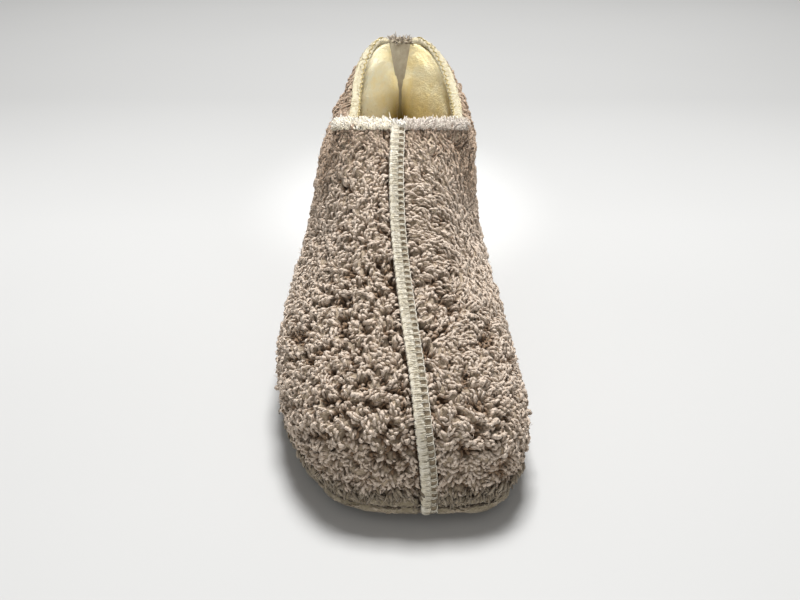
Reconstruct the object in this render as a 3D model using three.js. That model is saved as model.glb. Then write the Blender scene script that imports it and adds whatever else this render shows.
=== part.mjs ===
// Slipper boot for the right foot: an ankle-high house shoe of curly wool fleece with a cream wool lining.
// Two fleece panels meet at an overlocked seam from toe to throat and at a plain seam up the heel.
// The upper is open at the collar and underneath, where a suede outsole with a gathered rand closes it.
// Millimetres. The toe points along -Y, +X is the inner side of the foot, and the sole stands on Z = 0.
import * as THREE from "three";

// Driving dimensions of the outside, fleece included
const outerLength = 266;
const ballWidth = 107;
const instepHeight = 116;
const heelHeight = 125;

// Sole and footbed
const soleThickness = 4;
const soleMargin = 2.4;
const soleRounding = 3;
const toeSpring = 3.5;
const springLength = 66;
const archRise = 2.5;
const archStart = 112;
const archEnd = 188;
const heelBevel = 1.5;
const heelBevelLength = 20;
const insoleThickness = 5;
const insoleCrown = 1.2;

// Wall of fleece, knit and lining
const wallThickness = 8;
const collarThickness = 6.5;
const liningCreaseDepth = 2.6;
const liningCreaseWidth = 7;
const clearance = 0.3;

// Sideways offset of the front middle line at the toe, and of the collar's sides towards the inner side
const toeOffset = 11;
const collarOffset = 3.2;

// Trim
const seamWidth = 6.4;
const seamThickness = 2.2;
const seamTopLength = 3.5;
const heelSeamWidth = 4;
const heelSeamThickness = 1.6;
const randThickness = 2.8;
const randPuckerDepth = 0.45;
const randPuckerPitch = 13;
const hemHeight = 4;
const hemInset = 1.5;
const hemClearance = 0.5;
const hemOverhang = 0.5;
const stripTopWidth = 12;
const stripBottomWidth = 3.5;
const stripThickness = 1.4;
const stripInnerLength = 55;
const stripFlareLength = 22;
const stripOuterLength = 4;
const stripClearance = 0.6;

// Meshing
const columns = 72;
const outerRows = 30;
const randRows = 2;
const innerRows = 14;

// Rings of the outer form, from the feather line up to the collar. Each ring is an outline in a tilted plane.
// frontY and backY: its ends, as shares of the outer length from the toe's tip.
// frontUp and backUp: their heights over the sole, as shares of the instep and heel heights over it.
// sag: how far the sides hang under the line between the ends, as a share of the instep height.
// toe, ball, waist and heel: half widths as shares of half the ball width.
// toeRound and heelRound: the power that rounds each end, 1 for an ellipse and less for a blunter end.
// lean: sideways place of the front end, as a share of the toe's offset.
const formRings = [
  { frontY: 0.006, frontUp: 0, backY: 0.97, backUp: 0, sag: 0,
    toe: 0.88, ball: 0.94, waist: 0.74, heel: 0.76, toeRound: 0.52, heelRound: 0.8, lean: 1 },
  { frontY: 0.001, frontUp: 0.085, backY: 0.986, backUp: 0.075, sag: 0,
    toe: 1.03, ball: 1.03, waist: 0.84, heel: 0.86, toeRound: 0.51, heelRound: 0.8, lean: 1 },
  { frontY: 0, frontUp: 0.19, backY: 0.996, backUp: 0.165, sag: 0,
    toe: 1.08, ball: 1.06, waist: 0.89, heel: 0.91, toeRound: 0.51, heelRound: 0.8, lean: 0.92 },
  { frontY: 0.014, frontUp: 0.315, backY: 1, backUp: 0.27, sag: 0.01,
    toe: 1.01, ball: 1.02, waist: 0.89, heel: 0.91, toeRound: 0.54, heelRound: 0.8, lean: 0.77 },
  { frontY: 0.068, frontUp: 0.43, backY: 0.994, backUp: 0.38, sag: 0.03,
    toe: 0.89, ball: 0.94, waist: 0.87, heel: 0.89, toeRound: 0.6, heelRound: 0.8, lean: 0.6 },
  { frontY: 0.155, frontUp: 0.525, backY: 0.983, backUp: 0.49, sag: 0.05,
    toe: 0.77, ball: 0.835, waist: 0.825, heel: 0.86, toeRound: 0.65, heelRound: 0.82, lean: 0.35 },
  { frontY: 0.255, frontUp: 0.625, backY: 0.973, backUp: 0.605, sag: 0.065,
    toe: 0.7, ball: 0.765, waist: 0.8, heel: 0.82, toeRound: 0.68, heelRound: 0.85, lean: 0.08 },
  { frontY: 0.35, frontUp: 0.745, backY: 0.966, backUp: 0.73, sag: 0.085,
    toe: 0.68, ball: 0.74, waist: 0.77, heel: 0.79, toeRound: 0.66, heelRound: 0.82, lean: -0.12 },
  { frontY: 0.435, frontUp: 0.88, backY: 0.965, backUp: 0.865, sag: 0.105,
    toe: 0.7, ball: 0.715, waist: 0.735, heel: 0.75, toeRound: 0.59, heelRound: 0.75, lean: -0.18 },
  { frontY: 0.51, frontUp: 1, backY: 0.978, backUp: 1, sag: 0.14,
    toe: 0.75, ball: 0.61, waist: 0.585, heel: 0.645, toeRound: 0.48, heelRound: 0.72, lean: -0.12 },
];
const widthStations = [
  { name: "toe", at: 0.08 },
  { name: "ball", at: 0.34 },
  { name: "waist", at: 0.6 },
  { name: "heel", at: 0.86 },
];

// How the two sides differ from those half widths at the feather line, as shares of half the ball width.
// The differences fade out towards the collar.
const innerSide = { toe: 0.04, ball: -0.2, waist: -0.2, heel: -0.06 };
const outerSide = { toe: 0.2, ball: 0.1, waist: 0.07, heel: 0.05 };

const lerp = THREE.MathUtils.lerp;
const smoothstep = THREE.MathUtils.smoothstep;
const spread = (low, high, steps) => Array.from({ length: steps + 1 }, (_, i) => lerp(low, high, i / steps));

// A smooth curve through values at evenly spaced places, read at place t from 0 to values.length - 1.
function curveThrough(values, t) {
  const last = values.length - 1;
  const i = Math.min(Math.max(Math.floor(t), 0), last - 1);
  const f = t - i;
  const [b, c] = [values[i], values[i + 1]];
  const a = i > 0 ? values[i - 1] : 2 * b - c;
  const d = i < last - 1 ? values[i + 2] : 2 * c - b;
  return b + 0.5 * f * (c - a + f * (2 * a - 5 * b + 4 * c - d + f * (3 * (b - c) + d - a)));
}

// Height of the sole's underside at a distance y from the toe's tip: flat under the ball and the heel.
function undersideHeight(y) {
  const toe = Math.max(0, 1 - y / springLength);
  const arch = THREE.MathUtils.clamp((y - archStart) / (archEnd - archStart), 0, 1);
  const heel = Math.max(0, 1 - (outerLength - y) / heelBevelLength);
  return toeSpring * toe ** 2 + archRise * Math.sin(Math.PI * arch) ** 2 + heelBevel * heel ** 2;
}

const featherHeight = (y) => undersideHeight(y) + soleThickness + clearance;

// One ring's sizes at height v, from 0 at the feather line to 1 at the collar.
function ringAt(v) {
  const t = v * (formRings.length - 1);
  const column = (name) => curveThrough(formRings.map((ring) => ring[name]), t);
  const sideWidths = (difference) => widthStations.map(({ name }) =>
    (column(name) + difference[name] * (1 - v)) * ballWidth / 2);
  return {
    frontY: column("frontY") * outerLength,
    backY: column("backY") * outerLength,
    frontUp: column("frontUp") * (instepHeight - soleThickness),
    backUp: column("backUp") * (heelHeight - soleThickness),
    sag: column("sag") * instepHeight,
    lean: column("lean") * toeOffset,
    toeRound: column("toeRound"),
    heelRound: column("heelRound"),
    innerWidths: sideWidths(innerSide),
    outerWidths: sideWidths(outerSide),
  };
}

// Half width of a ring on one side at a share s of its length, before its ends round off.
function halfWidthAt(ring, s, side) {
  const [first, second] = widthStations;
  const t = (s - first.at) / (second.at - first.at);
  const widths = side > 0 ? ring.innerWidths : ring.outerWidths;
  return curveThrough(widths, THREE.MathUtils.clamp(t, -0.3, widths.length - 0.7));
}

// A point of the outer form. Angle u runs round the ring: 0 at the toe, pi at the heel, positive on the
// inner side.
function formPoint(u, v) {
  const ring = ringAt(v);
  const s = (1 - Math.cos(u)) / 2;
  const side = Math.sign(Math.sin(u));
  const y = lerp(ring.frontY, ring.backY, s);
  const up = lerp(ring.frontUp, ring.backUp, s) - ring.sag * 4 * s * (1 - s);
  const roundEnds = Math.abs(Math.sin(u)) ** lerp(ring.toeRound, ring.heelRound, s);
  const shift = ring.lean * (1 - s) ** 3 + collarOffset * smoothstep(v, 0.8, 1) * Math.sin(Math.PI * s);
  const x = side * roundEnds * halfWidthAt(ring, s, side) + shift;
  return new THREE.Vector3(x, y, featherHeight(y) + up);
}

// The outward normal of the form, level along the feather line so that the wall stands square on the sole.
function formNormal(u, v) {
  const du = 0.01;
  const dv = 0.004;
  const around = formPoint(u + du, v).sub(formPoint(u - du, v));
  const upward = formPoint(u, v + dv).sub(formPoint(u, v - dv));
  const normal = around.cross(upward).normalize();
  normal.z *= smoothstep(v, 0, 0.12);
  return normal.normalize();
}

const raised = (u, v, height) => formPoint(u, v).addScaledVector(formNormal(u, v), height);

// Thickness of the wall: full over the foot, thinner at the collar and pinched at the heel seam.
function wallAt(u, v) {
  const plain = lerp(wallThickness, collarThickness, smoothstep(v, 0.75, 1));
  const fromHeel = formPoint(u, v).distanceTo(formPoint(Math.PI, v));
  return plain - liningCreaseDepth * Math.exp(-((fromHeel / liningCreaseWidth) ** 2)) * smoothstep(v, 0, 0.2);
}

// A point of the lining's surface. Along the feather line it lies on the sole's own curve.
function innerPoint(u, v) {
  const p = raised(u, v, -wallAt(u, v));
  if (v === 0) p.z = featherHeight(p.y);
  return p;
}

// Angles for the columns, in even steps along a ring's outline. Column j pairs with column columns - j.
function evenAngles(v) {
  const tries = spread(0, Math.PI, 400);
  const lengths = [0];
  for (let i = 1; i < tries.length; i++) {
    lengths.push(lengths[i - 1] + formPoint(tries[i], v).distanceTo(formPoint(tries[i - 1], v)));
  }
  const angleAt = (share) => {
    const wanted = share * lengths.at(-1);
    const i = Math.max(1, lengths.findIndex((length) => length >= wanted));
    return lerp(tries[i - 1], tries[i], (wanted - lengths[i - 1]) / (lengths[i] - lengths[i - 1]));
  };
  const half = spread(0, 1, columns / 2).map(angleAt);
  half[columns / 2] = Math.PI;
  return [...half, ...half.slice(1, -1).reverse().map((angle) => 2 * Math.PI - angle)];
}

const angles = evenAngles(0.25);
const outerWall = spread(0, 1, outerRows).map((v) => angles.map((u) => formPoint(u, v)));
const innerWall = spread(0, 1, innerRows).map((v) => angles.map((u) => innerPoint(u, v)));

// The columns' angles between two others, with those two at the ends.
function anglesBetween(first, last) {
  const margin = 0.02;
  return [first, ...angles.filter((u) => u > first + margin && u < last - margin), last];
}

// The angle whose point lies a distance across from the toe's or the heel's middle line, on that side.
function angleAcross(distance, v, end) {
  const ring = ringAt(v);
  const atHeel = end === "heel";
  const half = halfWidthAt(ring, atHeel ? 1 : 0, Math.sign(distance));
  const power = atHeel ? ring.heelRound : ring.toeRound;
  const angle = Math.sign(distance) * Math.asin((Math.abs(distance) / half) ** (1 / power));
  return atHeel ? Math.PI - angle : angle;
}

// Triangles between two closed sections of as many points, which start at the given point numbers.
function bandFaces(first, second, count) {
  const faces = [];
  for (let j = 0; j < count; j++) {
    const next = (j + 1) % count;
    faces.push([first + j, first + next, second + next], [first + j, second + next, second + j]);
  }
  return faces;
}

// Triangles that close a ring with rungs from its inner side to its outer side.
function ladderFaces(start, count) {
  const faces = [];
  for (let j = 0; j < count / 2; j++) {
    const [a, b] = [start + j, start + j + 1];
    const [c, d] = [start + count - j - 1, start + ((count - j) % count)];
    if (b !== c) faces.push([a, b, c]);
    if (a !== d) faces.push([a, c, d]);
  }
  return faces;
}

// Triangles that close a small section round its middle point.
function fanFaces(start, count, middle) {
  return Array.from({ length: count }, (_, j) => [start + j, start + ((j + 1) % count), middle]);
}

const flipped = (faces) => faces.map(([a, b, c]) => [a, c, b]);

function geometryOf(points, faces) {
  const geometry = new THREE.BufferGeometry().setFromPoints(points);
  geometry.setIndex(faces.flat());
  geometry.computeVertexNormals();
  return geometry;
}

const middleOf = (points) =>
  points.reduce((sum, p) => sum.add(p), new THREE.Vector3()).divideScalar(points.length);

// A bar through small closed sections, with a fan over each end.
function barGeometry(sections) {
  const count = sections[0].length;
  const points = [...sections.flat(), middleOf(sections[0]), middleOf(sections.at(-1))];
  const faces = [];
  for (let i = 0; i < sections.length - 1; i++) {
    faces.push(...bandFaces(i * count, (i + 1) * count, count));
  }
  faces.push(...flipped(fanFaces(0, count, points.length - 2)));
  faces.push(...fanFaces((sections.length - 1) * count, count, points.length - 1));
  return geometryOf(points, faces);
}

// A slab through rings stacked from the bottom up, closed with rungs at both ends.
function slabGeometry(rings) {
  const faces = flipped(ladderFaces(0, columns));
  for (let i = 0; i < rings.length - 1; i++) {
    faces.push(...bandFaces(i * columns, (i + 1) * columns, columns));
  }
  faces.push(...ladderFaces((rings.length - 1) * columns, columns));
  return geometryOf(rings.flat(), faces);
}

// The upper: an outer wall, a lining wall, and rims along the collar and the feather line.
function upperGeometry() {
  const outerTop = outerRows * columns;
  const innerStart = outerTop + columns;
  const innerTop = innerStart + innerRows * columns;
  const faces = [];
  for (let i = 0; i < outerRows; i++) {
    faces.push(...bandFaces(i * columns, (i + 1) * columns, columns));
  }
  for (let row = innerStart; row < innerTop; row += columns) {
    faces.push(...flipped(bandFaces(row, row + columns, columns)));
  }
  faces.push(...bandFaces(innerStart, 0, columns), ...bandFaces(outerTop, innerTop, columns));
  return geometryOf([...outerWall, ...innerWall].flat(), faces);
}

// An outline round the feather line, moved outwards by a distance, at a height over the sole's underside.
function featherOutline(outset, height) {
  return angles.map((u) => {
    const p = raised(u, 0, outset);
    p.z = undersideHeight(p.y) + height;
    return p;
  });
}

// The outsole: a suede slab with toe spring, arch and rounded edge, flat under the ball and the heel.
function outsoleGeometry() {
  const levels = [
    { outset: soleMargin - soleRounding, height: 0 },
    { outset: soleMargin - soleRounding * 0.3, height: soleThickness * 0.14 },
    { outset: soleMargin, height: soleThickness * 0.45 },
    { outset: soleMargin * 0.7, height: soleThickness },
  ];
  return slabGeometry(levels.map(({ outset, height }) => featherOutline(outset, height)));
}

// The insole: a footbed that fills the lining's outline, lightly crowned towards its middle.
function insoleGeometry() {
  const base = soleThickness + clearance;
  const edge = wallThickness + clearance;
  const levels = [
    { inset: edge, height: base },
    { inset: edge, height: base + insoleThickness * 0.6 },
    { inset: edge + 3, height: base + insoleThickness - insoleCrown / 2 },
    { inset: edge + 11, height: base + insoleThickness },
  ];
  return slabGeometry(levels.map(({ inset, height }) => featherOutline(-inset, height)));
}

const randHeight = randRows / outerRows;
const seamReach = seamWidth / 2 + clearance;
const stripReach = stripTopWidth / 2 + clearance;

// Moves a section's points sideways into one upright plane.
const flattened = (section, x) => section.map((p) => p.clone().setX(x));

// The rand: the outsole's suede edge, turned up in puckers under the bulge. It runs round from one side of the
// front seam to the other.
function randGeometry() {
  const bottom = 0.004;
  const profile = [
    { v: randHeight / 2, height: 0, pucker: 0 },
    { v: randHeight, height: 0, pucker: 0 },
    { v: randHeight, height: randThickness * 0.3, pucker: 0.5 },
    { v: randHeight * 0.75, height: randThickness * 0.8, pucker: 1 },
    { v: randHeight * 0.35, height: randThickness, pucker: 1 },
    { v: bottom, height: randThickness * 0.7, pucker: 1 },
    { v: bottom, height: 0, pucker: 0 },
  ];
  const first = angleAcross(seamReach, 0, "toe");
  const last = 2 * Math.PI + angleAcross(-seamReach, 0, "toe");
  const sections = anglesBetween(first, last).map((u) => {
    const place = formPoint(u, 0);
    const turn = (2 * Math.PI * (place.y + place.x)) / randPuckerPitch;
    const wave = randPuckerDepth * Math.sin(turn + Math.sin(turn / 3));
    return profile.map(({ v, height, pucker }) => raised(u, v, clearance + height + pucker * wave));
  });
  const tip = formPoint(0, 0).x;
  sections[0] = flattened(sections[0], tip + seamReach);
  sections[sections.length - 1] = flattened(sections.at(-1), tip - seamReach);
  return barGeometry(sections);
}

// The height v of the place on the heel's middle line that lies a distance under the collar.
function heelUnderCollar(distance) {
  const step = 0.05;
  return 1 - (step * distance) / formPoint(Math.PI, 1).distanceTo(formPoint(Math.PI, 1 - step));
}

// A ridge that lies on the outer wall along the toe's or the heel's middle line.
function seamGeometry({ end, width, thickness, bottom, top, rows, overCollar }) {
  const shares = [-1, -0.6, 0, 0.6, 1];
  const heights = [0.35, 0.85, 1, 0.85, 0.35];
  const sections = spread(bottom, top, rows).map((v) => {
    const at = (share, height) => {
      const u = angleAcross((share * width) / 2, v, end);
      return raised(u, v, clearance + height);
    };
    const ridge = shares.map((share, i) => at(share, thickness * heights[i]));
    const underside = shares.map((share) => at(share, 0)).reverse();
    return [...ridge, ...underside];
  });
  if (overCollar > 0) {
    const upward = formPoint(0, 1).sub(formPoint(0, 0.98)).setLength(overCollar);
    sections.push(sections.at(-1).map((p) => p.clone().add(upward)));
  }
  return barGeometry(end === "heel" ? sections.map((section) => section.reverse()) : sections);
}

// One half of the collar's rolled hem, from the front seam to the heel strip, on side 1 (inner) or
// -1 (outer). The fleece stands a little way outside it.
function hemGeometry(side) {
  const halfWidth = (collarThickness + hemOverhang - hemInset) / 2;
  const corners = [
    [-0.8, 0], [0.8, 0], [1, 0.35], [0.85, 0.8], [0.35, 1], [-0.35, 1], [-0.85, 0.8], [-1, 0.35],
  ];
  const first = Math.abs(angleAcross(side * seamReach, 1, "toe"));
  const last = Math.PI - Math.abs(Math.PI - angleAcross(side * stripReach, 1, "heel"));
  const sections = anglesBetween(first, last).map((angle) => {
    const u = side * angle;
    const rim = formPoint(u, 1);
    const outward = formNormal(u, 1);
    const upward = rim.clone().sub(formPoint(u, 0.98)).normalize();
    const middle = rim.addScaledVector(outward, -hemInset - halfWidth);
    return corners.map(([across, up]) => middle.clone()
      .addScaledVector(outward, across * halfWidth)
      .addScaledVector(upward, hemClearance + up * hemHeight));
  });
  sections[0] = flattened(sections[0], formPoint(0, 1).x + side * seamReach);
  sections[sections.length - 1] = flattened(sections.at(-1), side * stripReach);
  return barGeometry(side > 0 ? sections.map((section) => section.reverse()) : sections);
}

// The point of a row of wall points near the heel that lies a distance across from its middle line.
function acrossHeel(row, across) {
  const step = across < 0 ? 1 : -1;
  let j = columns / 2;
  while (Math.abs(row[j + step].x) < Math.abs(across)) j += step;
  const [near, far] = [row[j], row[j + step]];
  return near.clone().lerp(far, (across - near.x) / (far.x - near.x));
}

// The heel strip: a felt tape that lies over the heel seam inside, flares upwards and folds over the collar.
function heelStripGeometry() {
  const rim = formPoint(Math.PI, 1);
  const outward = formNormal(Math.PI, 1);
  const upward = rim.clone().sub(formPoint(Math.PI, 0.98)).normalize();
  const inward = outward.clone().negate();
  const steps = [];
  for (let i = 0; i <= innerRows; i++) {
    const fall = rim.distanceTo(formPoint(Math.PI, i / innerRows));
    if (fall > stripInnerLength) continue;
    const flare = Math.max(0, 1 - fall / stripFlareLength);
    const width = lerp(stripBottomWidth, stripTopWidth, flare);
    const atRim = i === innerRows;
    const away = atRim ? inward.clone().add(upward) : inward;
    steps.push({ row: innerWall[i], width, away, drop: 0 });
  }
  const outerTop = outerWall.at(-1);
  steps.push(
    { row: outerTop, width: stripTopWidth, away: outward.clone().add(upward), drop: 0 },
    { row: outerTop, width: stripTopWidth, away: outward, drop: stripOuterLength },
  );
  const sections = steps.map(({ row, width, away, drop }) => {
    const near = [-0.5, -0.25, 0, 0.25, 0.5].map((share) => acrossHeel(row, share * width)
      .addScaledVector(away, stripClearance)
      .addScaledVector(upward, -drop));
    const far = near.map((p) => p.clone().addScaledVector(away, stripThickness));
    return [...near.reverse(), ...far];
  });
  return barGeometry(sections);
}

const colours = {
  fleece: "#9a8b7a",
  lining: "#e6d9b4",
  seam: "#e2d8c0",
  suede: "#8b7d6a",
  felt: "#a89c84",
};

function clothMesh(name, geometry, colour, roughness) {
  const material = new THREE.MeshStandardMaterial({ color: colour, roughness, metalness: 0 });
  const mesh = new THREE.Mesh(geometry, material);
  mesh.name = name;
  return mesh;
}

const frontSeam = {
  end: "toe", width: seamWidth, thickness: seamThickness, bottom: 0.008, top: 1, rows: 40,
  overCollar: seamTopLength,
};
const heelSeam = {
  end: "heel", width: heelSeamWidth, thickness: heelSeamThickness, bottom: randHeight + 0.015,
  top: heelUnderCollar(stripOuterLength + 3 * clearance), rows: 24, overCollar: 0,
};

const slipper = new THREE.Group();
slipper.add(
  clothMesh("upper", upperGeometry(), colours.fleece, 0.95),
  clothMesh("outsole", outsoleGeometry(), colours.suede, 0.9),
  clothMesh("rand", randGeometry(), colours.suede, 0.9),
  clothMesh("insole", insoleGeometry(), colours.lining, 0.95),
  clothMesh("front_seam", seamGeometry(frontSeam), colours.seam, 0.85),
  clothMesh("heel_seam", seamGeometry(heelSeam), colours.fleece, 0.85),
  clothMesh("collar_hem_inner_side", hemGeometry(1), colours.lining, 0.95),
  clothMesh("collar_hem_outer_side", hemGeometry(-1), colours.lining, 0.95),
  clothMesh("heel_strip", heelStripGeometry(), colours.felt, 0.95),
);

// The origin is on the floor under the middle of the slipper's box.
const box = new THREE.Box3().setFromObject(slipper);
const middle = box.getCenter(new THREE.Vector3());
for (const mesh of slipper.children) {
  mesh.geometry.translate(-middle.x, -middle.y, -box.min.z);
}

export default slipper;
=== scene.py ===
# Slipper boot for the right foot: curly taupe wool fleece outside, cream wool pile inside, an overlocked
# seam from toe to throat, a rolled cream collar and a thin suede sole with a gathered rand.
import math

import bpy
import numpy as np
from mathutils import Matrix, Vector, kdtree


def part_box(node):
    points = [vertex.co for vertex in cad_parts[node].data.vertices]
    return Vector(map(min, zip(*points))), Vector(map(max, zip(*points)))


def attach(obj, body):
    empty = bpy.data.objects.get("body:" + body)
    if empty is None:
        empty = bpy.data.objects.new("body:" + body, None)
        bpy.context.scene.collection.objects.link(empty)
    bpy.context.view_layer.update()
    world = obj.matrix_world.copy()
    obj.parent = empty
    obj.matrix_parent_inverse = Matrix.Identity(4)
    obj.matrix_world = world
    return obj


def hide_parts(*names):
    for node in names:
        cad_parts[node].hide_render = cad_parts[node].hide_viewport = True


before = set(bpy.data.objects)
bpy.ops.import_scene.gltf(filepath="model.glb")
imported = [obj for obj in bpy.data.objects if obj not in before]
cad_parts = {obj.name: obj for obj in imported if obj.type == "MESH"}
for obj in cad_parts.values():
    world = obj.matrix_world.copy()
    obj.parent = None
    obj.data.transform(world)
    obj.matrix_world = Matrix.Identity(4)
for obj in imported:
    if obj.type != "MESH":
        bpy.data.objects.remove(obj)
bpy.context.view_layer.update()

# Sizes are in millimetres, as on a maker's sheet, and become metres when a mesh is made.
METRES = 0.001

# The outer form's driving sizes
OUTER_LENGTH = 266.0
BALL_WIDTH = 107.0
INSTEP_HEIGHT = 116.0
HEEL_HEIGHT = 125.0
SOLE_THICKNESS = 4.0
SOLE_MARGIN = 2.4
CLEARANCE = 0.3
TOE_SPRING, SPRING_LENGTH = 3.5, 66.0
ARCH_RISE, ARCH_START, ARCH_END = 2.5, 112.0, 188.0
HEEL_BEVEL, HEEL_BEVEL_LENGTH = 1.5, 20.0
WALL, COLLAR_WALL = 8.0, 6.5
CREASE_DEPTH, CREASE_WIDTH = 2.6, 7.0
TOE_OFFSET, COLLAR_OFFSET = 11.0, 3.2

# Rings of the outer form from the feather line to the collar, as shares of the sizes above.
RING_COLUMNS = ("front_y", "front_up", "back_y", "back_up", "sag",
                "toe", "ball", "waist", "heel", "toe_round", "heel_round", "lean")
RINGS = np.array([
    (0.006, 0.0, 0.97, 0.0, 0.0, 0.88, 0.94, 0.74, 0.76, 0.52, 0.8, 1.0),
    (0.001, 0.085, 0.986, 0.075, 0.0, 1.03, 1.03, 0.84, 0.86, 0.51, 0.8, 1.0),
    (0.0, 0.19, 0.996, 0.165, 0.0, 1.08, 1.06, 0.89, 0.91, 0.51, 0.8, 0.92),
    (0.014, 0.315, 1.0, 0.27, 0.01, 1.01, 1.02, 0.89, 0.91, 0.54, 0.8, 0.77),
    (0.068, 0.43, 0.994, 0.38, 0.03, 0.89, 0.94, 0.87, 0.89, 0.6, 0.8, 0.6),
    (0.155, 0.525, 0.983, 0.49, 0.05, 0.77, 0.835, 0.825, 0.86, 0.65, 0.82, 0.35),
    (0.255, 0.625, 0.973, 0.605, 0.065, 0.7, 0.765, 0.8, 0.82, 0.68, 0.85, 0.08),
    (0.35, 0.745, 0.966, 0.73, 0.085, 0.68, 0.74, 0.77, 0.79, 0.66, 0.82, -0.12),
    (0.435, 0.88, 0.965, 0.865, 0.105, 0.7, 0.715, 0.735, 0.75, 0.59, 0.75, -0.18),
    (0.51, 1.0, 0.978, 1.0, 0.14, 0.75, 0.61, 0.585, 0.645, 0.48, 0.72, -0.12),
])
FIRST_STATION, STATION_STEP = 0.08, 0.26
INNER_SIDE = np.array([0.04, -0.2, -0.2, -0.06])
OUTER_SIDE = np.array([0.2, 0.1, 0.07, 0.05])


def smoothstep(x, low, high):
    t = np.clip((x - low) / (high - low), 0, 1)
    return t * t * (3 - 2 * t)


def catmull(a, b, c, d, f):
    return b + 0.5 * f * (c - a + f * (2 * a - 5 * b + 4 * c - d + f * (3 * (b - c) + d - a)))


def rows_at(table, t):
    """A smooth curve through the rows of a table, at places t."""
    last = len(table) - 1
    i = np.clip(np.floor(t).astype(int), 0, last - 1)
    f = (t - i)[..., None]
    b, c = table[i], table[i + 1]
    a = np.where((i > 0)[..., None], table[np.maximum(i - 1, 0)], 2 * b - c)
    d = np.where((i < last - 1)[..., None], table[np.minimum(i + 2, last)], 2 * c - b)
    return catmull(a, b, c, d, f)


def across(values, t):
    """A smooth curve through the last axis of values, at places t."""
    last = values.shape[-1] - 1
    i = np.clip(np.floor(t).astype(int), 0, last - 1)

    def pick(k):
        return np.take_along_axis(values, np.clip(k, 0, last)[..., None], -1)[..., 0]

    b, c = pick(i), pick(i + 1)
    a = np.where(i > 0, pick(i - 1), 2 * b - c)
    d = np.where(i < last - 1, pick(i + 2), 2 * c - b)
    return catmull(a, b, c, d, t - i)


def underside(y):
    """Height of the sole's underside at a distance y from the toe's tip."""
    toe = np.maximum(0, 1 - y / SPRING_LENGTH)
    arch = np.clip((y - ARCH_START) / (ARCH_END - ARCH_START), 0, 1)
    heel = np.maximum(0, 1 - (OUTER_LENGTH - y) / HEEL_BEVEL_LENGTH)
    return TOE_SPRING * toe ** 2 + ARCH_RISE * np.sin(np.pi * arch) ** 2 + HEEL_BEVEL * heel ** 2


def raw_form(u, v):
    """Points of the outer form from its tip: u runs round the ring, 0 at the toe and pi at the heel."""
    u, v = np.broadcast_arrays(np.asarray(u, float), np.asarray(v, float))
    ring = dict(zip(RING_COLUMNS, np.moveaxis(rows_at(RINGS, v * (len(RINGS) - 1)), -1, 0)))
    s = (1 - np.cos(u)) / 2
    side = np.sign(np.sin(u))
    y = ring["front_y"] * (1 - s) + ring["back_y"] * s
    y = y * OUTER_LENGTH
    front_up = ring["front_up"] * (INSTEP_HEIGHT - SOLE_THICKNESS)
    back_up = ring["back_up"] * (HEEL_HEIGHT - SOLE_THICKNESS)
    up = front_up * (1 - s) + back_up * s - ring["sag"] * INSTEP_HEIGHT * 4 * s * (1 - s)
    widths = np.stack([ring[name] for name in ("toe", "ball", "waist", "heel")], -1)
    difference = np.where(side[..., None] > 0, INNER_SIDE, OUTER_SIDE)
    widths = (widths + difference * (1 - v[..., None])) * BALL_WIDTH / 2
    station = np.clip((s - FIRST_STATION) / STATION_STEP, -0.3, 3.3)
    power = ring["toe_round"] * (1 - s) + ring["heel_round"] * s
    x = side * np.abs(np.sin(u)) ** power * across(widths, station)
    x = x + ring["lean"] * TOE_OFFSET * (1 - s) ** 3
    x = x + COLLAR_OFFSET * smoothstep(v, 0.8, 1) * np.sin(np.pi * s)
    return np.stack([x, y, underside(y) + SOLE_THICKNESS + CLEARANCE + up], -1)


def placing():
    """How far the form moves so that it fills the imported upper's box."""
    low, high = (np.array(corner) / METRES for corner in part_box("upper"))
    points = raw_form(np.linspace(0, 2 * np.pi, 361)[:, None], np.linspace(0, 1, 61)[None, :]).reshape(-1, 3)
    return (low + high - points.min(0) - points.max(0)) / 2


SHIFT = placing()


def unit(a):
    return a / np.maximum(np.linalg.norm(a, axis=-1, keepdims=True), 1e-9)


def form(u, v):
    return raw_form(u, v) + SHIFT


def tangents(u, v):
    """Unit directions round the ring and up the wall."""
    du, dv = 0.01, 0.004
    around = unit(form(u + du, v) - form(u - du, v))
    upward = unit(form(u, v + dv) - form(u, v - dv))
    return around, upward


def outward(u, v):
    """The outward normal, level along the feather line so that the wall stands square on the sole."""
    around, upward = tangents(u, v)
    normal = unit(np.cross(around, upward))
    normal[..., 2] *= smoothstep(np.broadcast_to(v, normal.shape[:-1]), 0, 0.12)
    return unit(normal)


def raised(u, v, height):
    u, v, height = np.broadcast_arrays(*(np.asarray(value, float) for value in (u, v, height)))
    return form(u, v) + outward(u, v) * height[..., None]


def lattice(cell, seed):
    """A number from 0 to 1 for each whole-number place."""
    mixed = cell.astype(np.int64) * np.array([73856093, 19349663, 83492791])
    h = np.bitwise_xor.reduce(mixed, -1) ^ (seed * 2654435761)
    h = ((h ^ (h >> 13)) * 1274126177) & 0x7FFFFFFF
    return ((h ^ (h >> 16)) & 0xFFFFFF) / 0xFFFFFF


def noise(points, size, seed=0):
    """Smooth noise from -1 to 1 with lumps of about the given size."""
    p = points / size
    cell = np.floor(p)
    f = p - cell
    f = f * f * (3 - 2 * f)
    total = 0
    for corner in np.ndindex(2, 2, 2):
        weight = np.prod(np.where(corner, f, 1 - f), -1)
        total = total + weight * lattice(cell + corner, seed)
    return 2 * total - 1


# Meshes from arrays


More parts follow.
